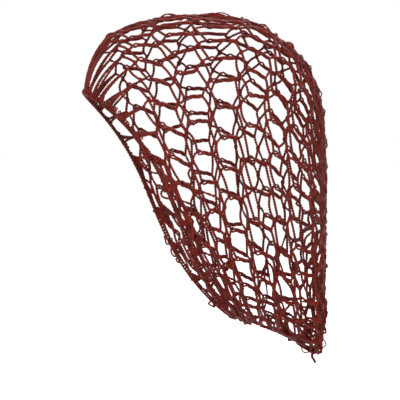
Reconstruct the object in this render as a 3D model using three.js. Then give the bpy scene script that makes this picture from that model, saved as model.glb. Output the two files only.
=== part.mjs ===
// Crochet hair snood: an open net bag for the hair, gathered on an edge band round the face.
// Millimetres, +Z up, the wearer faces -Y. The origin is the inside of the crown's top.
import * as THREE from 'three';

// Overall size of the bag, measured to the middle of the net
const BAG_DEPTH = 224;
const BAG_HEIGHT = 314;
const BAG_WIDTH = 192;

// Net: thickness at the ridge of a strand, thickness at its edge, width, and the pattern
const NET_THICKNESS = 2.6;
const NET_EDGE_THICKNESS = 1.1;
const STRAND_WIDTH = 4.4;
const CELLS_PER_ROUND = 11;
const NET_ROUNDS = 11;
// How far the rounds zigzag to either side of their line, as a share of their pitch, and
// the widest gap that the zigzag may open
const ZIGZAG = 0.17;
const WIDEST_GAP = 31;

// Edge band: two rows of edging side by side
const BAND_WIDTH = 4.4;
const BAND_THICKNESS = 2.4;
const BAND_WAIST = 1.5;
const BAND_STEPS = 84;

// Foundation chain on the back
const CHAIN_WIDTH = 5.0;
const CHAIN_THICKNESS = 2.8;
const CHAIN_STEPS = 16;

// Gap between pieces that meet, and how far the straight runs of the net's borders cut
// inside their curves
const CLEARANCE = 0.3;
const BORDER_SAG = 0.6;

const YARN_RED = 0x8a3228;

// How far back the top of the crown lies, as a share of the depth
const CROWN_PLACE = 0.446;
// How much fuller the loops are above their middle than below it
const TOP_FULLNESS = 0.08;

// Each row is one closed loop round the bag, from the face opening to the back chain.
// Its top and bottom lie on the middle plane. topBack and lowBack are shares of the depth,
// measured back from the forehead. topDown and lowDown are shares of the height, measured
// down from the crown. bow and lean curve the loop's sides backwards, as shares of the
// depth. width is a share of the width; the last loop takes its width from the chain.
const LOOPS = [
  { name: 'face_opening', topBack: 0.000, topDown: 0.225, lowBack: 0.600, lowDown: 0.880, bow: 0.022, lean: 0.115, width: 0.875 },
  { name: 'forehead', topBack: 0.006, topDown: 0.147, lowBack: 0.608, lowDown: 0.882, bow: 0.004, lean: 0.092, width: 0.905 },
  { name: 'hairline', topBack: 0.052, topDown: 0.089, lowBack: 0.616, lowDown: 0.884, bow: -0.027, lean: 0.068, width: 0.930 },
  { name: 'round_1', topBack: 0.127, topDown: 0.050, lowBack: 0.625, lowDown: 0.886, bow: -0.062, lean: 0.046, width: 0.950 },
  { name: 'round_2', topBack: 0.257, topDown: 0.016, lowBack: 0.649, lowDown: 0.892, bow: -0.054, lean: 0.041, width: 0.980 },
  { name: 'round_3', topBack: 0.434, topDown: 0.000, lowBack: 0.678, lowDown: 0.898, bow: -0.060, lean: 0.050, width: 1.000 },
  { name: 'round_4', topBack: 0.658, topDown: 0.013, lowBack: 0.716, lowDown: 0.906, bow: -0.090, lean: 0.000, width: 1.000 },
  { name: 'round_5', topBack: 0.790, topDown: 0.063, lowBack: 0.774, lowDown: 0.922, bow: -0.080, lean: -0.045, width: 0.960 },
  { name: 'round_6', topBack: 0.882, topDown: 0.117, lowBack: 0.861, lowDown: 0.953, bow: -0.088, lean: -0.025, width: 0.875 },
  { name: 'round_7', topBack: 0.936, topDown: 0.179, lowBack: 0.962, lowDown: 0.994, bow: -0.060, lean: -0.017, width: 0.730 },
  { name: 'round_8', topBack: 0.965, topDown: 0.246, lowBack: 0.981, lowDown: 0.941, bow: -0.036, lean: 0.000, width: 0.540 },
  { name: 'round_9', topBack: 0.980, topDown: 0.323, lowBack: 0.983, lowDown: 0.850, bow: -0.014, lean: 0.000, width: 0.320 },
  { name: 'back_closing', topBack: 0.990, topDown: 0.408, lowBack: 0.990, lowDown: 0.760, bow: 0.003, lean: 0.000, width: 0 },
];
const LAST_LOOP = LOOPS.length - 1;
const CLOSING_MARGIN = STRAND_WIDTH / 2 + CLEARANCE + BORDER_SAG;
const CLOSING_WIDTH = (CHAIN_WIDTH + 2 * CLOSING_MARGIN) / BAG_WIDTH;

// Smooth value of one column of the table between its rows
function columnAt(column, place) {
  const first = Math.min(Math.floor(place), LAST_LOOP - 1);
  const value = (row) => {
    const kept = Math.max(0, Math.min(LAST_LOOP, row));
    return column === 'width' && kept === LAST_LOOP ? CLOSING_WIDTH : LOOPS[kept][column];
  };
  const t = place - first;
  const before = first === 0 ? 2 * value(0) - value(1) : value(first - 1);
  const after = first + 2 > LAST_LOOP ? 2 * value(LAST_LOOP) - value(LAST_LOOP - 1) : value(first + 2);
  const start = value(first);
  const end = value(first + 1);
  const startSlope = (end - before) / 2;
  const endSlope = (after - start) / 2;
  const rise = t * t * (3 - 2 * t);
  return start * (1 - rise) + end * rise + startSlope * t * (1 - t) ** 2 - endSlope * t * t * (1 - t);
}

// Point of the net's middle surface on loop `place` at `angle`, 0 at the top, +X first
function loopPoint(place, angle) {
  const down = (1 - Math.cos(angle)) / 2;
  const swell = 4 * down * (1 - down);
  const back = THREE.MathUtils.lerp(columnAt('topBack', place), columnAt('lowBack', place), down)
    + swell * (columnAt('bow', place) + columnAt('lean', place) * (1 - 2 * down));
  const fall = THREE.MathUtils.lerp(columnAt('topDown', place), columnAt('lowDown', place), down);
  const spread = Math.sin(angle) + TOP_FULLNESS * Math.sin(2 * angle);
  return new THREE.Vector3(
    (BAG_WIDTH / 2) * columnAt('width', place) * spread,
    BAG_DEPTH * (back - CROWN_PLACE),
    NET_THICKNESS / 2 - BAG_HEIGHT * fall,
  );
}

// Lengths measured along a row of points
function runningLengths(points) {
  const lengths = [0];
  for (let i = 1; i < points.length; i += 1) {
    lengths.push(lengths[i - 1] + points[i].distanceTo(points[i - 1]));
  }
  return lengths;
}

// Where a length falls in a row of running lengths, as a whole and a part of a step
function stepAt(lengths, wanted) {
  const found = lengths.findIndex((length) => length >= wanted);
  const after = Math.max(1, found < 0 ? lengths.length - 1 : found);
  return after - 1 + (wanted - lengths[after - 1]) / (lengths[after] - lengths[after - 1]);
}

// The bag's middle line above and below, from the face opening to the back chain
const LINE_SAMPLES = 96;
const placeOfSample = (i) => (LAST_LOOP * i) / LINE_SAMPLES;
const middleLine = (angle) => runningLengths(
  [...Array(LINE_SAMPLES + 1).keys()].map((i) => loopPoint(placeOfSample(i), angle)));
const topLine = middleLine(0);
const lowLine = middleLine(Math.PI);

// Loop place at a share of a middle line's length
function placeOnLine(lengths, share) {
  return placeOfSample(stepAt(lengths, share * lengths[LINE_SAMPLES]));
}

// Point on a ring of the net. Rings split the top line and the low line evenly.
function ringPoint(ring, angle) {
  const down = (1 - Math.cos(angle)) / 2;
  const place = THREE.MathUtils.lerp(placeOnLine(topLine, ring), placeOnLine(lowLine, ring), down);
  return loopPoint(place, angle);
}

// Point on a ring at a share of the way round it, measured along the ring
const RING_SAMPLES = 240;
const ringLengths = new Map();
function ringPointAt(ring, share) {
  if (!ringLengths.has(ring)) {
    ringLengths.set(ring, runningLengths(
      [...Array(RING_SAMPLES + 1).keys()].map((i) => ringPoint(ring, (2 * Math.PI * i) / RING_SAMPLES))));
  }
  const lengths = ringLengths.get(ring);
  const wanted = (share - Math.floor(share)) * lengths[RING_SAMPLES];
  return ringPoint(ring, (2 * Math.PI * stepAt(lengths, wanted)) / RING_SAMPLES);
}

// The line from the face opening to the back chain at one share of the way round
const lines = new Map();
function lineAt(share) {
  const key = (share - Math.floor(share)).toFixed(6);
  if (!lines.has(key)) {
    const points = [...Array(LINE_SAMPLES + 1).keys()].map((i) => ringPointAt(i / LINE_SAMPLES, share));
    lines.set(key, { points, lengths: runningLengths(points) });
  }
  return lines.get(key);
}

// Point on that line at a distance from the face opening
function pointAlong(share, distance) {
  const { points, lengths } = lineAt(share);
  const step = stepAt(lengths, distance);
  const before = Math.min(LINE_SAMPLES - 1, Math.floor(step));
  return points[before].clone().lerp(points[before + 1], step - before);
}

// Directions at the face opening: along it, and square to it on the net's surface
function openingFrame(share) {
  const centre = ringPointAt(0, share);
  const along = ringPointAt(0, share + 0.004).sub(ringPointAt(0, share - 0.004)).normalize();
  const across = pointAlong(share, BAND_WIDTH).sub(centre);
  across.addScaledVector(along, -across.dot(along)).normalize();
  return { centre, along, across };
}

// Length along the line at which the net starts, clear of the edge band on all sides
const NET_START = BAND_WIDTH / 2 + CLEARANCE + BORDER_SAG + STRAND_WIDTH / 2;
const START_SEARCHES = 14;
const opening = [...Array(RING_SAMPLES).keys()].map((i) => ringPointAt(0, i / RING_SAMPLES));
const netStarts = new Map();
function netStartOf(share) {
  if (!netStarts.has(share)) {
    let near = 0;
    let far = 4 * NET_START;
    for (let i = 0; i < START_SEARCHES; i += 1) {
      const middle = (near + far) / 2;
      const point = pointAlong(share, middle);
      const gap = Math.min(...opening.map((edge) => edge.distanceTo(point)));
      if (gap < NET_START) near = middle;
      else far = middle;
    }
    netStarts.set(share, far);
  }
  return netStarts.get(share);
}

// Net point: `round` counts rounds from the edge band, 0 to NET_ROUNDS, and `pull` moves
// the point by its zigzag, 1 towards the back chain and -1 towards the edge band
function netPoint(round, share, pull = 0) {
  const start = netStartOf(share);
  const pitch = (lineAt(share).lengths[LINE_SAMPLES] - start) / NET_ROUNDS;
  const room = Math.max(0, (WIDEST_GAP + STRAND_WIDTH - pitch) / 2);
  return pointAlong(share, start + pitch * round + pull * Math.min(ZIGZAG * pitch, room));
}

// Outward direction of the net at a net point
function netNormal(round, share) {
  const low = Math.max(0, round - 0.1);
  const high = Math.min(NET_ROUNDS, round + 0.1);
  const backwards = netPoint(high, share).sub(netPoint(low, share));
  const around = netPoint(round, share + 0.004).sub(netPoint(round, share - 0.004));
  return around.cross(backwards).normalize();
}

// Closed mesh from a list of triangles given as corner positions
function solidGeometry(triangles) {
  const geometry = new THREE.BufferGeometry();
  const values = triangles.flatMap((triangle) => triangle.flatMap((corner) => corner.toArray()));
  geometry.setAttribute('position', new THREE.Float32BufferAttribute(values, 3));
  geometry.computeVertexNormals();
  return geometry;
}

function addQuad(triangles, a, b, c, d) {
  triangles.push([a, b, c], [a, c, d]);
}

// A strand's ridge point, with its outer and inner side
function ridgePoint(round, share, pull) {
  const middle = netPoint(round, share, pull);
  const normal = netNormal(round, share);
  return {
    middle,
    normal,
    outer: middle.clone().addScaledVector(normal, NET_THICKNESS / 2),
    inner: middle.clone().addScaledVector(normal, -NET_THICKNESS / 2),
  };
}

// A strand's edge point, moved from the ridge point to the inside of the gap
function edgePoint(ridge, previous, next) {
  const before = ridge.middle.clone().sub(previous.middle).normalize();
  const after = next.middle.clone().sub(ridge.middle).normalize();
  const inBefore = before.cross(ridge.normal).negate().normalize();
  const inAfter = after.cross(ridge.normal).negate().normalize();
  const inward = inBefore.clone().add(inAfter).divideScalar(1 + inBefore.dot(inAfter));
  const middle = ridge.middle.clone().addScaledVector(inward, STRAND_WIDTH / 2);
  return {
    outer: middle.clone().addScaledVector(ridge.normal, NET_EDGE_THICKNESS / 2),
    inner: middle.clone().addScaledVector(ridge.normal, -NET_EDGE_THICKNESS / 2),
  };
}

// Outer side, inner side and wall between a run of ridge points and its edge points
function addStrandSide(triangles, ridges, edges) {
  ridges.forEach((ridge, i) => {
    const j = (i + 1) % ridges.length;
    addQuad(triangles, ridge.outer, ridges[j].outer, edges[j].outer, edges[i].outer);
    addQuad(triangles, ridges[j].inner, ridge.inner, edges[i].inner, edges[j].inner);
    addQuad(triangles, edges[i].outer, edges[j].outer, edges[j].inner, edges[i].inner);
  });
}

function addBorder(triangles, ridges) {
  const count = ridges.length;
  const edges = ridges.map((ridge, i) =>
    edgePoint(ridge, ridges[(i + count - 1) % count], ridges[(i + 1) % count]));
  addStrandSide(triangles, ridges, edges);
}

// The net: hexagonal gaps in rounds, every other round shifted by half a gap
function netGeometry() {
  const triangles = [];
  const ridges = new Map();
  const ridgeAt = (round, quarter) => {
    const turn = 4 * CELLS_PER_ROUND;
    const step = ((quarter % turn) + turn) % turn;
    const key = `${round}:${step}`;
    if (!ridges.has(key)) {
      const atBorder = round === 0 || round === NET_ROUNDS;
      // A post that starts here pulls the line back, one that ends here pulls it forward
      const pull = atBorder ? 0 : [1, 0, -1, 0][(step + 2 * (round % 2)) % 4];
      ridges.set(key, ridgePoint(round, step / turn, pull));
    }
    return ridges.get(key);
  };
  for (let round = 0; round < NET_ROUNDS; round += 1) {
    for (let cell = 0; cell < CELLS_PER_ROUND; cell += 1) {
      const first = 4 * cell + 2 * (round % 2);
      const front = [0, 1, 2, 3, 4].map((step) => ridgeAt(round, first + step));
      const rear = [4, 3, 2, 1, 0].map((step) => ridgeAt(round + 1, first + step));
      addBorder(triangles, [...front, ...rear]);
    }
  }
  const around = [...Array(4 * CELLS_PER_ROUND).keys()];
  addBorder(triangles, around.map((step) => ridgeAt(0, -step)));
  addBorder(triangles, around.map((step) => ridgeAt(NET_ROUNDS, step)));
  return solidGeometry(triangles);
}

// Sweeps a closed section round a closed or open row of frames
function sweptGeometry(frames, section, closed) {
  const rings = frames.map(({ centre, across, up, scale = 1 }) => section.map(([a, u]) =>
    centre.clone().addScaledVector(across, a * scale).addScaledVector(up, u * scale)));
  const triangles = [];
  const steps = closed ? rings.length : rings.length - 1;
  for (let i = 0; i < steps; i += 1) {
    const ring = rings[i];
    const next = rings[(i + 1) % rings.length];
    ring.forEach((corner, k) => {
      const m = (k + 1) % ring.length;
      addQuad(triangles, corner, ring[m], next[m], next[k]);
    });
  }
  if (!closed) {
    const first = rings[0];
    const last = rings[rings.length - 1];
    const cap = (ring, flip) => {
      for (let k = 1; k < ring.length - 1; k += 1) {
        triangles.push(flip ? [ring[0], ring[k + 1], ring[k]] : [ring[0], ring[k], ring[k + 1]]);
      }
    };
    cap(first, true);
    cap(last, false);
  }
  return solidGeometry(triangles);
}

// Section of the band: two rows of edging with a waist between them
function bandSection() {
  const half = BAND_WIDTH / 2;
  const top = BAND_THICKNESS / 2;
  const waist = BAND_WAIST / 2;
  return [
    [half, 0], [half * 0.78, top * 0.85], [half * 0.4, top * 0.95], [0, waist], [-half * 0.4, top * 0.95],
    [-half * 0.78, top * 0.85], [-half, 0], [-half * 0.78, -top * 0.85], [-half * 0.4, -top * 0.95],
    [0, -waist], [half * 0.4, -top * 0.95], [half * 0.78, -top * 0.85],
  ];
}

// The edge band follows the face opening, flat on the net's surface
function bandGeometry() {
  const frames = [...Array(BAND_STEPS).keys()].map((i) => {
    const { centre, along, across } = openingFrame(i / BAND_STEPS);
    return { centre, across, up: along.clone().cross(across).normalize() };
  });
  return sweptGeometry(frames, bandSection(), true);
}

// The back chain fills the closing loop and narrows towards its ends with it
const CHAIN_SIDES = 8;
const CHAIN_END_ANGLE = 0.75;
function chainGeometry() {
  const frames = [...Array(CHAIN_STEPS + 1).keys()].map((i) => {
    const angle = THREE.MathUtils.lerp(CHAIN_END_ANGLE, Math.PI - CHAIN_END_ANGLE, i / CHAIN_STEPS);
    const side = loopPoint(LAST_LOOP, angle);
    const along = loopPoint(LAST_LOOP, angle + 0.01).sub(loopPoint(LAST_LOOP, angle - 0.01)).setX(0).normalize();
    const across = new THREE.Vector3(1, 0, 0);
    return {
      centre: side.clone().setX(0),
      across,
      up: along.clone().cross(across),
      scale: (side.x - CLOSING_MARGIN) / (CHAIN_WIDTH / 2),
    };
  });
  const section = [...Array(CHAIN_SIDES).keys()].map((k) => {
    const angle = (2 * Math.PI * k) / CHAIN_SIDES;
    return [(CHAIN_WIDTH / 2) * Math.cos(angle), (CHAIN_THICKNESS / 2) * Math.sin(angle)];
  });
  return sweptGeometry(frames, section, false);
}

function yarnMaterial() {
  return new THREE.MeshStandardMaterial({ color: YARN_RED, roughness: 0.75, metalness: 0, side: THREE.DoubleSide });
}

const snood = new THREE.Group();
const pieces = { net_bag: netGeometry(), edge_band: bandGeometry(), back_chain: chainGeometry() };
Object.entries(pieces).forEach(([name, geometry]) => {
  const mesh = new THREE.Mesh(geometry, yarnMaterial());
  mesh.name = name;
  snood.add(mesh);
});

export default snood;
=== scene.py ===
import math

import bpy
import numpy as np
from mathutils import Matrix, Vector


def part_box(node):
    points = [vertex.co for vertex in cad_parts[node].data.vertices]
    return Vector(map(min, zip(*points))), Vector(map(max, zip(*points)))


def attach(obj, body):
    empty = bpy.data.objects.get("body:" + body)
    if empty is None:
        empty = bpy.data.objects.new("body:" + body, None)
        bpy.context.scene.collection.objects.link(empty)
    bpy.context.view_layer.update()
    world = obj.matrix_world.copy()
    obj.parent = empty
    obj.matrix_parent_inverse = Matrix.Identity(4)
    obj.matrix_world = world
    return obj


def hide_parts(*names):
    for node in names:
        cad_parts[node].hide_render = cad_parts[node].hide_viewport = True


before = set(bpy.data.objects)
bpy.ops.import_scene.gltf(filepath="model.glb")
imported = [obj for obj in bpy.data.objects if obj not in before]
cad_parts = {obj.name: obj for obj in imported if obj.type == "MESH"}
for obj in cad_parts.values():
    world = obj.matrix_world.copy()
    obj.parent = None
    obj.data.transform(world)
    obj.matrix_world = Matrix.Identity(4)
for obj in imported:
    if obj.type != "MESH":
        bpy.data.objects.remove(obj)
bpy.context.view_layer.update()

draw = np.random.default_rng(seed=11)

# All lengths are in metres. A pair with a name that ends in RANGE holds the lowest and the
# highest value of a random draw. STEPS are sampled points, and MARKS are the few points that
# a smooth path is laid through.

# Directions, and the share of the way round at a loop's top and bottom
LEFT = (1.0, 0.0, 0.0)
BACK = (0.0, 1.0, 0.0)
DOWN = (0.0, 0.0, -1.0)
TOP = 0.0
BOTTOM = 0.5

# Size of the bag, measured to the middle of the net, as the net's solid has it
BAG_DEPTH = 0.224
BAG_HEIGHT = 0.314
BAG_WIDTH = 0.192
NET_THICKNESS = 0.0026

# How far back the top of the crown lies, as a share of the depth, and how much fuller the
# loops are above their middle than below it
CROWN_PLACE = 0.446
TOP_FULLNESS = 0.08

# Each row is one closed loop round the bag, from the face opening to the back chain. Its top
# and bottom lie on the middle plane. top_back and low_back are shares of the depth, measured
# back from the front. top_down and low_down are shares of the height, measured down from the
# crown. bow and lean curve the loop's sides backwards, as shares of the depth, and width is a
# share of the width.
COLUMNS = ("top_back", "top_down", "low_back", "low_down", "bow", "lean", "width")
LOOPS = {
    "face_opening": (0.000, 0.225, 0.600, 0.880, 0.022, 0.115, 0.875),
    "forehead": (0.006, 0.147, 0.608, 0.882, 0.004, 0.092, 0.905),
    "hairline": (0.052, 0.089, 0.616, 0.884, -0.027, 0.068, 0.930),
    "round_1": (0.127, 0.050, 0.625, 0.886, -0.062, 0.046, 0.950),
    "round_2": (0.257, 0.016, 0.649, 0.892, -0.054, 0.041, 0.980),
    "round_3": (0.434, 0.000, 0.678, 0.898, -0.060, 0.050, 1.000),
    "round_4": (0.658, 0.013, 0.716, 0.906, -0.090, 0.000, 1.000),
    "round_5": (0.790, 0.063, 0.774, 0.922, -0.080, -0.045, 0.960),
    "round_6": (0.882, 0.117, 0.861, 0.953, -0.088, -0.025, 0.875),
    "round_7": (0.936, 0.179, 0.962, 0.994, -0.060, -0.017, 0.730),
    "round_8": (0.965, 0.246, 0.981, 0.941, -0.036, 0.000, 0.540),
    "round_9": (0.980, 0.323, 0.983, 0.850, -0.014, 0.000, 0.320),
    "back_closing": (0.990, 0.408, 0.990, 0.760, 0.003, 0.000, 0.060),
}
LAST_LOOP = len(LOOPS) - 1

# The surface as a grid of points, by loop place and by share of the way round, then the steps
# over which its directions are taken, and the shortest vector that a direction is made of
PLACE_STEPS = 16
SHARE_STEPS = 720
NORMAL_PLACE_STEP = 0.25
NORMAL_SHARE_STEP = 0.006
NORMAL_END_MARGIN = 0.3
ALONG_STEP = 0.004
SHORTEST = 1e-12

# Stitch pattern: stitches in a round and the loop that each round follows. For each round,
# TOP_CROWDING is how much closer its stitches lie over the crown than under the nape, and
# SIDE_SLACK how much wider they are at the side than at the top and bottom.
STITCHES = 30
ROUND_LOOPS = (0, 3, 4, 5, 6, 7, 8, 9, 10, 11, 12)
TOP_CROWDING = (0.75, 0.42, 0.22, 0.20, 0.20, 0.20, 0.20, 0.20, 0.15, 0.10, 0.0)
SIDE_SLACK = (0.0, 0.0, 0.0, 0.05, 0.10, 0.18, 0.15, 0.05, 0.0, 0.0, 0.0)
LAST_ROUND = len(ROUND_LOOPS) - 1
ROUND_SHIFT = 0.5
PATTERN_START = 0.1

# The middle rounds are pulled forwards along the upper sides: how far, in rounds, how much
# of that each round takes, and where, in shares of the way round from the top
FORWARD_PULL = 0.24
PULLED_ROUNDS = (0.0, 0.0, 0.0, 0.7, 1.0, 1.0, 1.0, 1.0, 0.6, 0.0, 0.0)
PULL_SHARE = 0.14
PULL_SPREAD = 0.075

# How far behind its round a post starts, how far before the next one it ends, and how far
# above its knot both ends are, in rounds and in stitches, then the spread of each stitch's
# own offset
POST_FRONT = 0.20
POST_REAR = 0.14
FRONT_RISE = 0.22
REAR_RISE = 0.18
WOBBLE_ROUND = 0.03
WOBBLE_TURN = 0.06

# Rounds of posts in each half of the net, first and last
HALVES = {"front": (1, 4), "rear": (5, LAST_ROUND - 1)}

# Strands of two plies: radius of a ply, how far it lies from the strand's middle, length of
# a turn and sides of a tube, then what the chains between knots and posts need
PLY_RADIUS = 0.00078
PLY_OFFSET = 0.00062
PLY_PITCH = 0.0050
SIDES = 5
STRAND_MARKS = 4
CHAIN_SAG = 0.0008
SHORT_CHAIN_STEPS = 8
LONG_CHAIN_STEPS = 22

# Posts of three plies. The pitch and the places along the post are shares of its length.
POST_PLY_RADIUS = 0.00092
POST_OFFSET = 0.00122
POST_FLATNESS = 0.62
POST_PITCH = 1.35
POST_SAG = 0.0006
POST_STEPS = 20
EYE_SIZE = 0.0010
EYE_PLACE = 0.12
EYE_SPREAD = 0.09
POST_TAPER = 0.0004
TAPER_LENGTH = 0.1

# Knots: half the height and width of their loops, and how far they twist off the net
KNOT_TUBE = 0.00074
KNOT_TALL_RANGE = (0.0020, 0.0027)
KNOT_WIDE_RANGE = (0.0010, 0.0014)
KNOT_TWIST = 0.0006
KNOT_STEPS = 18

# Edge band: two cords of two plies side by side. BEHIND_BAND is a loop place behind it.
CORD_APART = 0.0011
CORD_PLY = 0.00072
CORD_OFFSET = 0.00055
CORD_PITCH = 0.0062
CORD_STEPS = 720
CORD_SIDES = 6
BAND_ALONG_STEP = 0.002
BEHIND_BAND = 0.5

# Gathered strands between the band and round 1: their feet's places, in stitches from the
# post, and the radius of the crown that they bend over
FOOT_TURNS = (-0.17, 0.0, 0.17)
FOOT_WOBBLE = 0.05
GATHER_STEPS = 30
GATHER_MARKS = 5
GATHER_SAG = 0.0006
CROWN_RADIUS = 0.085

# Feet: loops of yarn round the rear cord, by their half sizes, and how far they lean
FOOT_TUBE = 0.0006
FOOT_BACK = 0.0009
FOOT_REACH = 0.0021
FOOT_HEIGHT = 0.0017
FOOT_LEAN = 0.0007
FOOT_LEAN_START = 0.6
FOOT_STEPS = 14

# Closed slack loops: how uneven they are, and how far they twist off the net
LOOP_TUBE = 0.00058
LOOP_STEPS = 20
LOOP_SKEW_RANGE = (-0.35, 0.35)
LOOP_TWIST_RANGE = (-0.0011, 0.0011)
LOOP_TWIST_START = 0.7

# Loops that stand off the band: share of the way round from the top down the wearer's left
# side, length along the band and reach off it
STANDING_LOOPS = (
    {"share": 0.184, "length": 0.0095, "reach": 0.0085},
    {"share": 0.176, "length": 0.0070, "reach": 0.0055},
    {"share": 0.230, "length": 0.0060, "reach": 0.0024},
    {"share": 0.307, "length": 0.0085, "reach": 0.0034},
    {"share": 0.328, "length": 0.0085, "reach": 0.0032},
    {"share": 0.342, "length": 0.0050, "reach": 0.0028},
    {"share": 0.432, "length": 0.0080, "reach": 0.0034},
    {"share": 0.555, "length": 0.0080, "reach": 0.0034},
    {"share": 0.645, "length": 0.0050, "reach": 0.0028},
    {"share": 0.659, "length": 0.0085, "reach": 0.0032},
    {"share": 0.680, "length": 0.0085, "reach": 0.0034},
)

# Their tube, how far they lean outward, and how far off the band's middle they start
STANDING_TUBE = 0.00088
STANDING_LEAN = 0.8
STANDING_FOOT = 0.0012

# Small stitches clumped behind the band: how many over the crown and along the sides, the
# share of the way round at which these meet, and their places and sizes
CLUMP_TOP = 64
CLUMP_SIDES = 56
CLUMP_MEETING = 0.2
CLUMP_PLACE_RANGE = (0.08, 0.30)
CLUMP_RISE_RANGE = (0.0, 0.0012)
CLUMP_LENGTH_RANGE = (0.0035, 0.0060)
CLUMP_WIDTH_RANGE = (0.0018, 0.0030)
CLUMP_STEPS = 14

# Slack strands between knots, of two plies or of one
SLACK_STEPS = 24
SLACK_MARKS = 5
SINGLE_RADIUS = 0.00064

# Long slack strands along the band's lower sides and the nape: the share of the way round at
# which they start, the share over which they leave the band, and the loop places where they
# start, where they run and which they stay between
BUNCH_STRANDS = 3
BUNCH_FIRST = 0.2
BUNCH_EASE = 0.12
BUNCH_START = 0.4
BUNCH_PLACES = (0.7, 4.5)
BUNCH_LIMITS = (0.1, 5.4)
BUNCH_STEPS = 300

# Their waves, by size and by count in a whole round: two on the net, in loop places, and one
# off the net, in metres
BUNCH_WAVES = (
    {"size": 0.60, "count": 15},
    {"size": 0.30, "count": 27},
    {"size": 0.0011, "count": 23},
)

# Slack strands at the nape, in the pouch's lowest corner and off the posts: how many, the
# rounds that they stay in, the spread of their knots in stitches, how many stitches further
# they end, their rise off the net and their bends
NAPE_SLACK = 26
NAPE_ROUNDS = (1, 3)
NAPE_SHARE_RANGE = (0.33, 0.67)
NAPE_SPREAD = 0.3
NAPE_REACHES = (-1, 1)
NAPE_RISE_RANGE = (-0.003, 0.002)
NAPE_BEND = 0.0022
POUCH_SLACK = 96
POUCH_ROUNDS = (5, 9)
POUCH_SPREAD = 1.7
POUCH_REACHES = (-2, -1, 1, 2)
POUCH_RISE_RANGE = (-0.004, 0.0006)
POUCH_BEND = 0.0016
OUTER_EACH = 5
OUTER_TOP_ROUNDS = (2, LAST_ROUND - 1)
OUTER_LOW_ROUNDS = (6, LAST_ROUND - 2)
OUTER_SPREAD = 1.2
OUTER_START_RANGE = (0, 0.3)
OUTER_LENGTH_RANGE = (0.5, 0.7)
OUTER_RISE_RANGE = (0.0026, 0.0038)
OUTER_BEND = 0.0002

# Back chain: interlocked links over two twisted cords
LINKS = 18
LINK_OVERLAP = 1.7
LINK_MARGIN = 0.0012
LINK_TUBE = 0.00072
SPINE_APART = 0.0011
SPINE_PLY = 0.00062
SPINE_OFFSET = 0.0005
SPINE_PITCH = 0.005
SPINE_STEPS = 90

# Stitches that tie each knot of the last round to the back chain: their shifts in height, how
# far inside the chain they end, and how far they bow off it
CLOSING_SHIFTS = (-0.0016, 0.0016)
CLOSING_MARGIN = 0.002
CLOSING_BOW = 0.0008
CLOSING_MARKS = 4
CLOSING_STEPS = 8

# Cut yarn end: loop place at the pouch's bottom where it starts, and its route from there
YARN_END_PLACE = 8.8
YARN_END_ROUTE = (
    (0.0, 0.0, 0.0),
    (0.001, -0.0012, -0.003),
    (0.001, 0.0003, -0.006),
    (0.002, 0.0020, -0.009),
)
YARN_END_PLY = 0.00085
YARN_END_OFFSET = 0.0006
YARN_END_PITCH = 0.005
YARN_END_STEPS = 16

# Yarn finish: gloss, patches and fibres, the fibres' share of the colour, the values at which
# the colour is darkest and lightest, and the fibres' relief
YARN_GLOSS = 0.10
PATCH_SCALE = 130
PATCH_DETAIL = 3
FIBRE_SCALE = 2600
FIBRE_DETAIL = 2
FIBRE_SHARE = 0.45
DARK_AT = 0.34
LIGHT_AT = 0.66
FIBRE_RELIEF = 0.0003
RELIEF_STRENGTH = 0.5

# Camera: its angle and distance, the width of its square picture in pixels, the size of a
# pixel, and the point of the bag that it shows at LOOK_PIXEL
CAMERA_AZIMUTH = math.radians(82)
CAMERA_ELEVATION = math.radians(2)
CAMERA_DISTANCE = 2.2
PICTURE = 400
METRES_PER_PIXEL = 0.00092
LOOK = (0, 0.011, -0.155)
LOOK_PIXEL = (205, 186)

# Lights, in metres and watts, all aimed at one point, then the world and the floor
LIGHTS = (
    {"name": "key", "place": (1.6, -1.3, 1.5), "size": 1.1, "power": 75},
    {"name": "fill", "place": (1.9, 1.3, 0.4), "size": 1.6, "power": 16},
    {"name": "rim", "place": (-1.4, 0.8, 1.5), "size": 1.2, "power": 30},
)
LIGHT_AIM = (0, 0, -0.15)
WORLD_STRENGTH = 1.0
FLOOR_HEIGHT = -0.37
FLOOR_RADIUS = 14
FLOOR_SIDES = 64
FLOOR_GREY = 0.78
FLOOR_GLOW = 0.2


# Shape of the bag

def smooth_between(before, start, end, after, t):
    """Smooth values from start to end, with slopes from the values before and after them."""
    rise = t * t * (3 - 2 * t)
    curve = (end - before) / 2 * t * (1 - t) ** 2 - (after - start) / 2 * t * t * (1 - t)
    return start * (1 - rise) + end * rise + curve


def loop_columns(place):
    """Smooth values of all columns of the table between its rows."""
    table = np.array(list(LOOPS.values()))
    table = np.vstack([2 * table[0] - table[1], table, 2 * table[-1] - table[-2]])
    place = np.asarray(place, float)
    first = np.clip(np.floor(place).astype(int), 0, LAST_LOOP - 1)
    t = (place - first)[..., None]
    return smooth_between(*(table[first + k] for k in range(4)), t)


def loop_point(place, angle):
    """Point of the net's middle surface, at an angle that is 0 at the top."""
    values = dict(zip(COLUMNS, np.moveaxis(loop_columns(place), -1, 0)))
    down = (1 - np.cos(angle)) / 2
    swell = 4 * down * (1 - down)
    back = values["top_back"] * (1 - down) + values["low_back"] * down
    back = back + swell * (values["bow"] + values["lean"] * (1 - 2 * down))
    fall = values["top_down"] * (1 - down) + values["low_down"] * down
    spread = np.sin(angle) + TOP_FULLNESS * np.sin(2 * angle)
    return np.stack([
        BAG_WIDTH / 2 * values["width"] * spread,
        BAG_DEPTH * (back - CROWN_PLACE),
        NET_THICKNESS / 2 - BAG_HEIGHT * fall,
    ], axis=-1)


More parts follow.
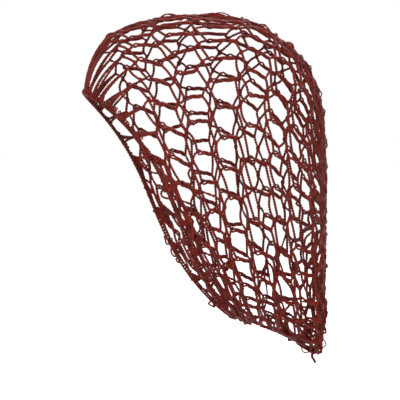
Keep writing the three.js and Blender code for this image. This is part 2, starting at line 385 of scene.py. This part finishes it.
def surface_grid():
    """Points of the surface, with the share of the way round measured along each loop."""
    places = np.linspace(0, LAST_LOOP, LAST_LOOP * PLACE_STEPS + 1)
    angles = np.linspace(0, 2 * math.pi, SHARE_STEPS + 1)
    shares = np.linspace(0, 1, SHARE_STEPS + 1)
    rows = []
    for place in places:
        points = loop_point(np.full(angles.shape, place), angles)
        steps = np.linalg.norm(np.diff(points, axis=0), axis=1)
        lengths = np.concatenate([[0], np.cumsum(steps)])
        at = np.interp(shares * lengths[-1], lengths, angles)
        rows.append(loop_point(np.full(at.shape, place), at))
    return np.array(rows)


GRID = surface_grid()


def net_point(place, share):
    """Point of the surface by loop place and share of the way round."""
    place, share = np.broadcast_arrays(np.asarray(place, float), np.asarray(share, float))
    row = np.clip(place, 0, LAST_LOOP) * PLACE_STEPS
    column = (share % 1.0) * SHARE_STEPS
    r = np.clip(np.floor(row).astype(int), 0, LAST_LOOP * PLACE_STEPS - 1)
    c = np.clip(np.floor(column).astype(int), 0, SHARE_STEPS - 1)
    a = (row - r)[..., None]
    b = (column - c)[..., None]
    low = GRID[r, c] * (1 - b) + GRID[r, c + 1] * b
    high = GRID[r + 1, c] * (1 - b) + GRID[r + 1, c + 1] * b
    return low * (1 - a) + high * a


def unit(vectors):
    """Vectors of length 1 in the same directions."""
    return vectors / np.maximum(np.linalg.norm(vectors, axis=-1, keepdims=True), SHORTEST)


def along_round(place, share, step):
    """Direction along the round at a place of the surface."""
    return unit(net_point(place, share + step) - net_point(place, share - step))


def net_normal(place, share):
    """Outward direction of the surface, which near its front and rear edges is taken further in."""
    place = np.clip(np.asarray(place, float), NORMAL_END_MARGIN, LAST_LOOP - NORMAL_END_MARGIN)
    share = np.asarray(share)
    backwards = net_point(place + NORMAL_PLACE_STEP, share) - net_point(place - NORMAL_PLACE_STEP, share)
    around = net_point(place, share + NORMAL_SHARE_STEP) - net_point(place, share - NORMAL_SHARE_STEP)
    return unit(np.cross(around, backwards))


def net_directions(place, share):
    """Point of the surface, and the directions along the round, across it and outward."""
    normal = net_normal(place, share)
    along = along_round(place, share, ALONG_STEP)
    return net_point(place, share), along, np.cross(normal, along), normal


# Meshes of yarn

def path_frame(paths, normals):
    """Directions across each path and up from the net, square to the path."""
    along = unit(np.gradient(paths, axis=1))
    across = unit(np.cross(normals, along))
    return across, np.cross(along, across)


def tube_mesh(paths, radii, normals, sides):
    """Vertices and faces of tubes round many paths, each an array of strands by samples."""
    count, samples = paths.shape[:2]
    across, up = path_frame(paths, normals)
    turn = np.linspace(0, 2 * math.pi, sides, endpoint=False)
    ring = np.cos(turn)[:, None] * across[:, :, None, :] + np.sin(turn)[:, None] * up[:, :, None, :]
    vertices = paths[:, :, None, :] + radii[..., None, None] * ring
    index = np.arange(count * samples * sides).reshape(count, samples, sides)
    here = index[:, :-1]
    ahead = index[:, 1:]
    quads = np.stack([here, np.roll(here, -1, 2), np.roll(ahead, -1, 2), ahead], axis=-1)
    caps = [index[:, 0, ::-1], index[:, -1]]
    return vertices.reshape(-1, 3), quads.reshape(-1, 4), np.concatenate(caps).reshape(-1, sides)


def sample_curve(points, samples):
    """Smooth path through a few points of each strand, evenly sampled in its parameter."""
    marks = points.shape[1]
    extended = np.concatenate([2 * points[:, :1] - points[:, 1:2], points,
                               2 * points[:, -1:] - points[:, -2:-1]], axis=1)
    at = np.linspace(0, marks - 1, samples)
    first = np.clip(np.floor(at).astype(int), 0, marks - 2)
    t = (at - first)[None, :, None]
    return smooth_between(*(extended[:, first + k] for k in range(4)), t)


def smooth_strands(points, normals, samples):
    """Smooth paths through a few points of each strand, and their outward directions."""
    return sample_curve(points, samples), unit(sample_curve(normals, samples))


def path_lengths(paths):
    """Length of each path up to each of its points."""
    steps = np.linalg.norm(np.diff(paths, axis=1), axis=2)
    return np.concatenate([np.zeros((len(paths), 1)), np.cumsum(steps, axis=1)], axis=1)


def twist(paths, normals, plies, offset, pitch, phase=None, flatness=1.0):
    """Paths of plies that wind round each path."""
    across, up = path_frame(paths, normals)
    start = draw.uniform(0, 2 * math.pi, (len(paths), 1)) if phase is None else phase
    turn = start + 2 * math.pi * path_lengths(paths) / pitch
    offset = np.broadcast_to(offset, turn.shape)
    out = []
    for k in range(plies):
        angle = turn + 2 * math.pi * k / plies
        side = (offset * np.cos(angle))[..., None] * across
        rise = (offset * flatness * np.sin(angle))[..., None] * up
        out.append(paths + side + rise)
    return out


class Yarn:
    """Collects tubes and makes one mesh object of them."""

    def __init__(self, name, material, slot="net_yarn", nodes=("net_bag",)):
        self.name = name
        self.material = material
        self.slot = slot
        self.nodes = nodes
        self.vertices = []
        self.quads = []
        self.caps = {}
        self.total = 0

    def add(self, paths, radii, normals, sides=SIDES):
        radii = np.broadcast_to(radii, paths.shape[:2])
        vertices, quads, caps = tube_mesh(paths, radii, normals, sides)
        self.vertices.append(vertices)
        self.quads.append(quads + self.total)
        self.caps.setdefault(sides, []).append(caps + self.total)
        self.total += len(vertices)

    def make(self):
        vertices = np.concatenate(self.vertices)
        groups = [np.concatenate(self.quads)] + [np.concatenate(c) for c in self.caps.values()]
        loops = np.concatenate([g.reshape(-1) for g in groups])
        sizes = np.concatenate([np.full(len(g), g.shape[1]) for g in groups])
        starts = np.concatenate([[0], np.cumsum(sizes)[:-1]])
        mesh = bpy.data.meshes.new(self.name)
        mesh.vertices.add(len(vertices))
        mesh.vertices.foreach_set("co", vertices.reshape(-1))
        mesh.loops.add(len(loops))
        mesh.loops.foreach_set("vertex_index", loops)
        mesh.polygons.add(len(sizes))
        mesh.polygons.foreach_set("loop_start", starts)
        mesh.polygons.foreach_set("use_smooth", np.ones(len(sizes), bool))
        mesh.update(calc_edges=True)
        mesh.validate()
        mesh.materials.append(self.material)
        piece = bpy.data.objects.new(self.name, mesh)
        bpy.context.scene.collection.objects.link(piece)
        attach(piece, "root")
        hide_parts(*self.nodes)


def add_two_ply(yarn, paths, normals):
    """Strands of two plies, each started at a turn of its own."""
    for ply in twist(paths, normals, 2, PLY_OFFSET, PLY_PITCH):
        yarn.add(ply, PLY_RADIUS, normals)


# Materials

def add_noise(tree, coordinates, scale, detail):
    """Noise texture in a material, and its value's output."""
    noise = tree.nodes.new("ShaderNodeTexNoise")
    noise.inputs["Scale"].default_value = scale
    noise.inputs["Detail"].default_value = detail
    tree.links.new(coordinates, noise.inputs["Vector"])
    return noise.outputs["Fac"]


def yarn_material(name, dark, light, roughness):
    """Crochet yarn: broad patches of colour, and fine fibres in colour and in relief."""
    material = bpy.data.materials.new(name)
    material.use_nodes = True
    tree = material.node_tree
    shader = tree.nodes["Principled BSDF"]
    shader.inputs["Roughness"].default_value = roughness
    shader.inputs["Specular IOR Level"].default_value = YARN_GLOSS
    coordinates = tree.nodes.new("ShaderNodeTexCoord").outputs["Object"]
    patches = add_noise(tree, coordinates, PATCH_SCALE, PATCH_DETAIL)
    fibres = add_noise(tree, coordinates, FIBRE_SCALE, FIBRE_DETAIL)
    both = tree.nodes.new("ShaderNodeMix")
    both.inputs["Factor"].default_value = FIBRE_SHARE
    tree.links.new(patches, both.inputs["A"])
    tree.links.new(fibres, both.inputs["B"])
    ramp = tree.nodes.new("ShaderNodeValToRGB")
    for stop, place, colour in zip(ramp.color_ramp.elements, (DARK_AT, LIGHT_AT), (dark, light)):
        stop.position = place
        stop.color = (*colour, 1)
    tree.links.new(both.outputs["Result"], ramp.inputs["Fac"])
    tree.links.new(ramp.outputs["Color"], shader.inputs["Base Color"])
    bump = tree.nodes.new("ShaderNodeBump")
    bump.inputs["Strength"].default_value = RELIEF_STRENGTH
    bump.inputs["Distance"].default_value = FIBRE_RELIEF
    tree.links.new(fibres, bump.inputs["Height"])
    tree.links.new(bump.outputs["Normal"], shader.inputs["Normal"])
    return material


NET_YARN = yarn_material("net_yarn", dark=(0.034, 0.0026, 0.0014),
                         light=(0.137, 0.0106, 0.0057), roughness=0.46)
BAND_YARN = yarn_material("band_yarn", dark=(0.026, 0.0022, 0.0012),
                          light=(0.104, 0.0082, 0.0045), roughness=0.42)


# Places in the stitch pattern

def by_round(values, round_):
    """Value at a round, or between two, from a row of one value for each round."""
    return np.interp(round_, np.arange(LAST_ROUND + 1), values)


def on_net(round_, turn):
    """Loop place and share of the way round of a place in the pattern. Such a place is a pair:
    the round, and the turn, which counts stitches from the top down the wearer's left side."""
    round_, turn = np.broadcast_arrays(np.asarray(round_, float), np.asarray(turn, float))
    share = turn / STITCHES
    crowd = by_round(TOP_CROWDING, round_) * np.sin(2 * math.pi * share) / (2 * math.pi)
    slack = by_round(SIDE_SLACK, round_) * np.sin(4 * math.pi * share) / (4 * math.pi)
    share = share - crowd - slack
    from_top = np.abs((share + 0.5) % 1.0 - 0.5)
    pull = by_round(PULLED_ROUNDS, round_) * np.exp(-((from_top - PULL_SHARE) / PULL_SPREAD) ** 2)
    return by_round(ROUND_LOOPS, round_ - FORWARD_PULL * pull), share


def wobble(size):
    """Small seeded offset of each stitch of each round."""
    return draw.normal(0, size, (LAST_ROUND + 1, STITCHES))


KNOT_WOBBLE = wobble(WOBBLE_ROUND), wobble(WOBBLE_TURN)
FRONT_WOBBLE = wobble(WOBBLE_ROUND), wobble(WOBBLE_TURN)
REAR_WOBBLE = wobble(WOBBLE_ROUND), wobble(WOBBLE_TURN)
for offsets in KNOT_WOBBLE:
    offsets[LAST_ROUND] = 0
EVERY = np.arange(STITCHES)


def pattern_place(i, j, back, rise, offsets):
    """Place behind round i by back and above its knot j by rise, with the stitch's offset."""
    near = j % STITCHES
    turn = j + i * ROUND_SHIFT + PATTERN_START - rise
    return i + back + offsets[0][i, near], turn + offsets[1][i, near]


def knot(i, j):
    """Place of knot j of round i."""
    return pattern_place(i, j, 0, 0, KNOT_WOBBLE)


def post_front(i, j):
    """Place of the front end of post j behind round i, a little above its knot."""
    return pattern_place(i, j, POST_FRONT, FRONT_RISE, FRONT_WOBBLE)


def post_rear(i, j):
    """Place of the rear end of post j behind round i, a little before the next round."""
    return pattern_place(i, j, 1 - POST_REAR, REAR_RISE, REAR_WOBBLE)


def between(start, end, share):
    """Places at a share of the way from one list of places to another."""
    return tuple(a * (1 - share) + b * share for a, b in zip(start, end))


def strands_between(start, end, marks=STRAND_MARKS, sag=0.0):
    """Few-point paths on the net between two lists of places, and the outward directions."""
    t = np.linspace(0, 1, marks)[None, :]
    rounds, turns = between([a[:, None] for a in start], [b[:, None] for b in end], t)
    place, share = on_net(rounds, turns)
    bend = np.sin(math.pi * t)[..., None] * draw.normal(0, 1, (len(rounds), 1, 3)) * sag
    return net_point(place, share) + bend, net_normal(place, share)


# The net

def add_chain(yarn, start, end, samples):
    """Two-ply chain strands between two lists of places."""
    points, normals = strands_between(start, end, sag=CHAIN_SAG)
    add_two_ply(yarn, *smooth_strands(points, normals, samples))


def add_posts(yarn, i):
    """Three-ply posts behind round i, open in a small eye at their front end."""
    points, normals = strands_between(post_front(i, EVERY), post_rear(i, EVERY), sag=POST_SAG)
    paths, normals = smooth_strands(points, normals, POST_STEPS)
    t = np.linspace(0, 1, POST_STEPS)[None, :]
    eye = EYE_SIZE * np.exp(-((t - EYE_PLACE) / EYE_SPREAD) ** 2)
    taper = POST_TAPER * np.clip((t - (1 - TAPER_LENGTH)) / TAPER_LENGTH, 0, 1)
    pitch = path_lengths(paths)[:, -1:] * POST_PITCH
    offset = POST_OFFSET + eye - taper
    for ply in twist(paths, normals, 3, offset, pitch, phase=0.0, flatness=POST_FLATNESS):
        yarn.add(ply, POST_PLY_RADIUS, normals)


def closed_turn(samples):
    """Angles once round a loop, as an array of one strand by samples."""
    return np.linspace(0, 2 * math.pi, samples)[None, :, None]


def add_knots(yarn, i):
    """A small upright loop at each knot of round i, with an open eye."""
    middle, along, side, normal = net_directions(*on_net(*knot(i, EVERY)))
    turn = closed_turn(KNOT_STEPS)
    tall = draw.uniform(*KNOT_TALL_RANGE, (STITCHES, 1, 1))
    wide = draw.uniform(*KNOT_WIDE_RANGE, (STITCHES, 1, 1))
    paths = (middle[:, None] + tall * np.cos(turn) * along[:, None]
             + wide * np.sin(turn) * side[:, None] + KNOT_TWIST * np.sin(2 * turn) * normal[:, None])
    yarn.add(paths, KNOT_TUBE, np.broadcast_to(normal[:, None], paths.shape))


def add_round_links(chains, i):
    """Chains from the rear ends of the posts before round i to its knots."""
    add_chain(chains, post_rear(i - 1, EVERY), knot(i, EVERY - 1), SHORT_CHAIN_STEPS)
    add_chain(chains, post_rear(i - 1, EVERY), knot(i, EVERY), LONG_CHAIN_STEPS)


def build_net():
    """Posts, chains and knots of all rounds behind the first."""
    for half, (first, last) in HALVES.items():
        posts = Yarn(f"net_posts_{half}", NET_YARN)
        chains = Yarn(f"net_chains_{half}", NET_YARN)
        knots = Yarn(f"net_knots_{half}", NET_YARN)
        for i in range(first, last + 1):
            add_posts(posts, i)
            add_chain(chains, knot(i, EVERY), post_front(i, EVERY), SHORT_CHAIN_STEPS)
            add_chain(chains, knot(i, EVERY - 1), post_front(i, EVERY), LONG_CHAIN_STEPS)
            add_round_links(chains, i + 1)
            add_knots(knots, i)
        posts.make()
        chains.make()
        knots.make()


# Front edge: the band, the strands that it gathers, and the loops on it

def edge_frame(share):
    """Middle of the band, its outward direction, its direction along, and forwards."""
    share = np.asarray(share, float)
    middle = net_point(0.0, share)
    along = along_round(0.0, share, BAND_ALONG_STEP)
    normal = net_normal(0.0, share)
    normal = unit(normal - (normal * along).sum(-1, keepdims=True) * along)
    forwards = np.cross(along, normal)
    flip = np.sign((forwards * (middle - net_point(BEHIND_BAND, share))).sum(-1, keepdims=True))
    return middle, normal, along, forwards * flip


def build_band():
    """Two cords, one twisted each way, so that their plies make a row of small Vs."""
    middle, normal, along, forwards = edge_frame(np.linspace(0, 1, CORD_STEPS + 1))
    for name, side in (("edge_cord_front", 1), ("edge_cord_rear", -1)):
        cord = Yarn(name, BAND_YARN, "band_yarn", ("edge_band",))
        path = (middle + side * CORD_APART * forwards)[None]
        length = path_lengths(path)[0, -1]
        pitch = length / round(length / CORD_PITCH)
        for ply in twist(path, normal[None], 2, CORD_OFFSET, side * pitch, phase=0.0):
            cord.add(ply, CORD_PLY, normal[None], sides=CORD_SIDES)
        cord.make()


def taut_strands(start, end):
    """Few-point paths that run straight between net places but bend over the crown."""
    first, last = net_point(*start), net_point(*end)
    outward = unit(net_normal(*start) + net_normal(*end))
    t = np.linspace(0, 1, GATHER_MARKS)[None, :, None]
    length = np.linalg.norm(last - first, axis=-1)[:, None, None]
    bulge = length ** 2 / (2 * CROWN_RADIUS) * t * (1 - t)
    bend = np.sin(math.pi * t) * draw.normal(0, GATHER_SAG, (len(first), 1, 3))
    points = first[:, None] * (1 - t) + last[:, None] * t + bulge * outward[:, None] + bend
    return points, np.broadcast_to(outward[:, None], points.shape)


def build_gathers():
    """Column between the band and round 1: three strands fan out from each post to the band."""
    strands = Yarn("gathered_strands", NET_YARN)
    feet = Yarn("edge_stitches", NET_YARN)
    rear = on_net(*post_rear(0, EVERY))
    for spread in FOOT_TURNS:
        turns = EVERY + PATTERN_START - REAR_RISE + spread + draw.normal(0, FOOT_WOBBLE, STITCHES)
        foot = on_net(np.zeros(STITCHES), turns)
        add_two_ply(strands, *smooth_strands(*taut_strands(foot, rear), GATHER_STEPS))
        add_feet(feet, foot[1])
    add_round_links(strands, 1)
    strands.make()
    feet.make()


def add_feet(feet, share):
    """Loops of yarn that wrap the rear cord of the band."""
    middle, normal, along, forwards = edge_frame(share)
    lean = draw.normal(0, FOOT_LEAN, (len(share), 1, 1))
    turn = closed_turn(FOOT_STEPS)
    centre = middle - FOOT_BACK * forwards
    paths = (centre[:, None] + FOOT_REACH * np.cos(turn) * forwards[:, None]
             + FOOT_HEIGHT * np.sin(turn) * normal[:, None]
             + lean * np.sin(turn + FOOT_LEAN_START) * along[:, None])
    feet.add(paths, FOOT_TUBE, np.broadcast_to(along[:, None], paths.shape))


def add_loops(yarn, centre, axes, length, width, samples=LOOP_STEPS, radius=LOOP_TUBE):
    """Closed slack loops, each given by its middle, its long axis, its short axis and the
    direction square to both, its length and its width."""
    long_axis, short_axis, normal = axes
    count = len(centre)
    turn = closed_turn(samples)
    length = np.broadcast_to(length, (count,))[:, None, None] / 2
    width = np.broadcast_to(width, (count,))[:, None, None] / 2
    skew = draw.uniform(*LOOP_SKEW_RANGE, (count, 1, 1))
    rise = draw.uniform(*LOOP_TWIST_RANGE, (count, 1, 1))
    paths = (centre[:, None] + length * np.cos(turn) * long_axis[:, None]
             + width * (np.sin(turn) + skew * np.sin(2 * turn)) * short_axis[:, None]
             + rise * np.cos(2 * turn + LOOP_TWIST_START) * normal[:, None])
    yarn.add(paths, radius, np.broadcast_to(normal[:, None], paths.shape))


def add_standing_loops(yarn):
    """Loops that stand off the band."""
    share, length, reach = (np.array([row[column] for row in STANDING_LOOPS])
                            for column in ("share", "length", "reach"))
    middle, normal, along, forwards = edge_frame(share)
    away = unit(forwards + STANDING_LEAN * normal)
    centre = middle + away * (STANDING_FOOT + reach / 2)[:, None]
    axes = along, away, np.cross(along, away)
    add_loops(yarn, centre, axes, length, reach, radius=STANDING_TUBE)


def add_clumped_stitches(yarn):
    """Small stitches that lie any way round behind the band."""
    count = CLUMP_TOP + CLUMP_SIDES
    share = np.concatenate([draw.uniform(-CLUMP_MEETING, CLUMP_MEETING, CLUMP_TOP),
                            draw.uniform(CLUMP_MEETING, 1 - CLUMP_MEETING, CLUMP_SIDES)])
    place = draw.uniform(*CLUMP_PLACE_RANGE, count)
    middle, along, across, normal = net_directions(place, share)
    centre = middle + normal * draw.uniform(*CLUMP_RISE_RANGE, count)[:, None]
    angle = draw.uniform(0, math.pi, count)[:, None]
    long_axis = np.cos(angle) * along + np.sin(angle) * across
    short_axis = np.cos(angle) * across - np.sin(angle) * along
    length = draw.uniform(*CLUMP_LENGTH_RANGE, count)
    width = draw.uniform(*CLUMP_WIDTH_RANGE, count)
    add_loops(yarn, centre, (long_axis, short_axis, normal), length, width, samples=CLUMP_STEPS)


def build_edge_loops():
    """Loops and small stitches on and behind the band."""
    yarn = Yarn("edge_loops", NET_YARN)
    add_standing_loops(yarn)
    add_clumped_stitches(yarn)
    yarn.make()


# Slack strands

def add_slack(yarn, start, end, rise_range, bend, single=False):
    """Slack strands between two lists of places: range of rise off the net, bend, and whether
    each is a single ply."""
    points, normals = strands_between(start, end, marks=SLACK_MARKS)
    count = len(points)
    swell = np.sin(math.pi * np.linspace(0, 1, SLACK_MARKS))[None, :, None]
    rise = draw.uniform(*rise_range, (count, 1, 1))
    points = points + (rise * normals + draw.normal(0, bend, (count, SLACK_MARKS, 3))) * swell
    paths, normals = smooth_strands(points, normals, SLACK_STEPS)
    if single:
        yarn.add(paths, SINGLE_RADIUS, normals)
    else:
        add_two_ply(yarn, paths, normals)


def knots_near(rounds, share, spread):
    """Numbers of the knots nearest to a share of the way round, with a spread in stitches."""
    turn = STITCHES * share - PATTERN_START - rounds * ROUND_SHIFT
    return np.round(turn + draw.normal(0, spread, rounds.shape)).astype(int)


def add_knot_slack(yarn, rounds, numbers, limits, reaches, rise_range, bend):
    """Slack strands from knots to others a few stitches away, in the same round or one beside
    it, within a first and a last round."""
    count = len(rounds)
    reach = draw.choice(reaches, count)
    ends = np.clip(rounds + draw.integers(-1, 2, count), *limits)
    shift = np.round((ends - rounds) * ROUND_SHIFT).astype(int)
    add_slack(yarn, knot(rounds, numbers), knot(ends, numbers + reach - shift), rise_range, bend)


def add_bunch(yarn):
    """Long strands that wave along the band from one side under the nape to the other."""
    share = np.linspace(BUNCH_FIRST, 1 - BUNCH_FIRST, BUNCH_STEPS)[None, :]
    base = np.linspace(*BUNCH_PLACES, BUNCH_STRANDS)[:, None]
    phases = draw.uniform(0, 2 * math.pi, (BUNCH_STRANDS, len(BUNCH_WAVES)))
    slow, fast, rise = (row["size"] * np.sin(2 * math.pi * row["count"] * share + phases[:, k:k + 1])
                        for k, row in enumerate(BUNCH_WAVES))
    from_end = np.minimum(share - BUNCH_FIRST, 1 - BUNCH_FIRST - share)
    ease = np.sin(math.pi / 2 * np.clip(from_end / BUNCH_EASE, 0, 1))
    place = np.clip(BUNCH_START + (base + slow + fast - BUNCH_START) * ease, *BUNCH_LIMITS)
    normals = net_normal(place, share)
    add_two_ply(yarn, net_point(place, share) + rise[..., None] * normals, normals)


def build_nape_bunch():
    """Slack strands along the band's lower sides and the nape."""
    yarn = Yarn("nape_bunch", NET_YARN)
    add_bunch(yarn)
    first, last = NAPE_ROUNDS
    rounds = draw.integers(first, last + 1, NAPE_SLACK)
    numbers = knots_near(rounds, draw.uniform(*NAPE_SHARE_RANGE, NAPE_SLACK), NAPE_SPREAD)
    add_knot_slack(yarn, rounds, numbers, NAPE_ROUNDS, NAPE_REACHES, NAPE_RISE_RANGE, NAPE_BEND)
    yarn.make()


def build_pouch_slack():
    """Slack chains between knots that lie near one another in the pouch's lowest corner."""
    yarn = Yarn("pouch_slack", NET_YARN)
    first, last = POUCH_ROUNDS
    rounds = draw.integers(first, last + 1, POUCH_SLACK)
    numbers = knots_near(rounds, BOTTOM, POUCH_SPREAD)
    add_knot_slack(yarn, rounds, numbers, POUCH_ROUNDS, POUCH_REACHES, POUCH_RISE_RANGE, POUCH_BEND)
    yarn.make()


def each_round(first, last):
    """Rounds from the first to the last, each as often as it gets a slack ply."""
    return np.repeat(np.arange(first, last + 1), OUTER_EACH)


def build_outer_loops():
    """Slack plies that bow off the posts along the top, the back and the pouch's underside."""
    yarn = Yarn("outer_loops", NET_YARN)
    top = each_round(*OUTER_TOP_ROUNDS)
    low = each_round(*OUTER_LOW_ROUNDS)
    rounds = np.concatenate([top, low])
    numbers = np.concatenate([knots_near(top, TOP, OUTER_SPREAD), knots_near(low, BOTTOM, OUTER_SPREAD)])
    front, rear = post_front(rounds, numbers), post_rear(rounds, numbers)
    first = draw.uniform(*OUTER_START_RANGE, rounds.shape)
    last = first + draw.uniform(*OUTER_LENGTH_RANGE, rounds.shape)
    start, end = between(front, rear, first), between(front, rear, last)
    add_slack(yarn, start, end, OUTER_RISE_RANGE, OUTER_BEND, single=True)
    yarn.make()


# Back chain and yarn end

def build_back_chain():
    """Chain of interlocked links down the middle of the back, over the last round."""
    low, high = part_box("back_chain")
    yarn = Yarn("back_chain_braid", NET_YARN, "net_yarn", ("back_chain",))
    depth = (low[1] + high[1]) / 2
    pitch = (high[2] - low[2]) / LINKS
    middle = np.array([(0.0, depth, high[2] - pitch * (k + 0.5)) for k in range(LINKS)])
    axes = [np.tile(axis, (LINKS, 1)) for axis in (DOWN, LEFT, BACK)]
    width = high[0] - low[0] - LINK_MARGIN
    add_loops(yarn, middle, axes, pitch * LINK_OVERLAP, width, radius=LINK_TUBE)
    height = np.linspace(high[2], low[2], SPINE_STEPS)
    for edge in (-1, 1):
        across = np.full(SPINE_STEPS, edge * SPINE_APART)
        path = np.stack([across, np.full(SPINE_STEPS, depth), height], axis=-1)[None]
        normals = np.broadcast_to(BACK, path.shape)
        for ply in twist(path, normals, 2, SPINE_OFFSET, edge * SPINE_PITCH, phase=0.0):
            yarn.add(ply, SPINE_PLY, normals)
    yarn.make()


def build_closing_stitches():
    """Strands that tie the last round's knots to the back chain."""
    low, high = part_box("back_chain")
    yarn = Yarn("closing_stitches", NET_YARN)
    start = net_point(*on_net(*knot(LAST_ROUND, EVERY)))
    across = np.sign(start[:, 0]) * CLOSING_MARGIN / 2
    depth = np.full(STITCHES, (low[1] + high[1]) / 2)
    t = np.linspace(0, 1, CLOSING_MARKS)[None, :, None]
    bow = CLOSING_BOW * np.sin(math.pi * t) * np.array(BACK)
    for shift in CLOSING_SHIFTS:
        height = np.clip(start[:, 2] + shift, low[2] + CLOSING_MARGIN, high[2] - CLOSING_MARGIN)
        end = np.stack([across, depth, height], axis=-1)
        paths = sample_curve(start[:, None] * (1 - t) + end[:, None] * t + bow, CLOSING_STEPS)
        add_two_ply(yarn, paths, np.broadcast_to(BACK, paths.shape))
    yarn.make()


def build_yarn_end():
    """Short cut end that hangs from the pouch's lowest corner."""
    yarn = Yarn("yarn_end", NET_YARN)
    route = net_point(YARN_END_PLACE, BOTTOM) + np.array(YARN_END_ROUTE)
    path = sample_curve(route[None], YARN_END_STEPS)
    normals = np.broadcast_to(LEFT, path.shape)
    for ply in twist(path, normals, 2, YARN_END_OFFSET, YARN_END_PITCH, phase=0.0):
        yarn.add(ply, YARN_END_PLY, normals)
    yarn.make()


# Camera, light and floor

def build_camera():
    """Camera at the photo's angle, framed so that LOOK lies at its pixel."""
    level = math.cos(CAMERA_ELEVATION)
    back = Vector((math.sin(CAMERA_AZIMUTH) * level, -math.cos(CAMERA_AZIMUTH) * level,
                   math.sin(CAMERA_ELEVATION)))
    right = Vector((0, 0, 1)).cross(back).normalized()
    up = back.cross(right)
    aside, below = (pixel - PICTURE / 2 for pixel in LOOK_PIXEL)
    aim = Vector(LOOK) - right * aside * METRES_PER_PIXEL + up * below * METRES_PER_PIXEL
    data = bpy.data.cameras.new("camera")
    data.sensor_fit = "HORIZONTAL"
    data.angle = 2 * math.atan(PICTURE / 2 * METRES_PER_PIXEL / CAMERA_DISTANCE)
    camera = bpy.data.objects.new("camera", data)
    camera.location = aim + back * CAMERA_DISTANCE
    camera.rotation_euler = back.to_track_quat("Z", "Y").to_euler()
    bpy.context.scene.collection.objects.link(camera)
    bpy.context.scene.camera = camera


def build_lights():
    """Soft area lights."""
    for row in LIGHTS:
        lamp = bpy.data.lights.new(row["name"], "AREA")
        lamp.size = row["size"]
        lamp.energy = row["power"]
        light = bpy.data.objects.new(row["name"], lamp)
        light.location = row["place"]
        away = Vector(row["place"]) - Vector(LIGHT_AIM)
        light.rotation_euler = away.to_track_quat("Z", "Y").to_euler()
        bpy.context.scene.collection.objects.link(light)


def build_world():
    """White surroundings, shown in their plain colours."""
    world = bpy.data.worlds.new("studio")
    world.use_nodes = True
    background = world.node_tree.nodes["Background"]
    background.inputs["Color"].default_value = (1, 1, 1, 1)
    background.inputs["Strength"].default_value = WORLD_STRENGTH
    bpy.context.scene.world = world
    bpy.context.scene.view_settings.view_transform = "Standard"


def build_floor():
    """Plain pale floor under the bag."""
    material = bpy.data.materials.new("floor")
    material.use_nodes = True
    shader = material.node_tree.nodes["Principled BSDF"]
    shader.inputs["Base Color"].default_value = (FLOOR_GREY, FLOOR_GREY, FLOOR_GREY, 1)
    shader.inputs["Roughness"].default_value = 1.0
    shader.inputs["Emission Color"].default_value = (1, 1, 1, 1)
    shader.inputs["Emission Strength"].default_value = FLOOR_GLOW
    bpy.ops.mesh.primitive_circle_add(vertices=FLOOR_SIDES, radius=FLOOR_RADIUS, fill_type="NGON",
                                      location=(0, 0, FLOOR_HEIGHT))
    floor = bpy.context.object
    floor.name = "floor"
    floor.data.materials.append(material)


build_camera()
build_lights()
build_world()
build_floor()
build_net()
build_band()
build_gathers()
build_edge_loops()
build_nape_bunch()
build_pouch_slack()
build_outer_loops()
build_back_chain()
build_closing_stitches()
build_yarn_end()
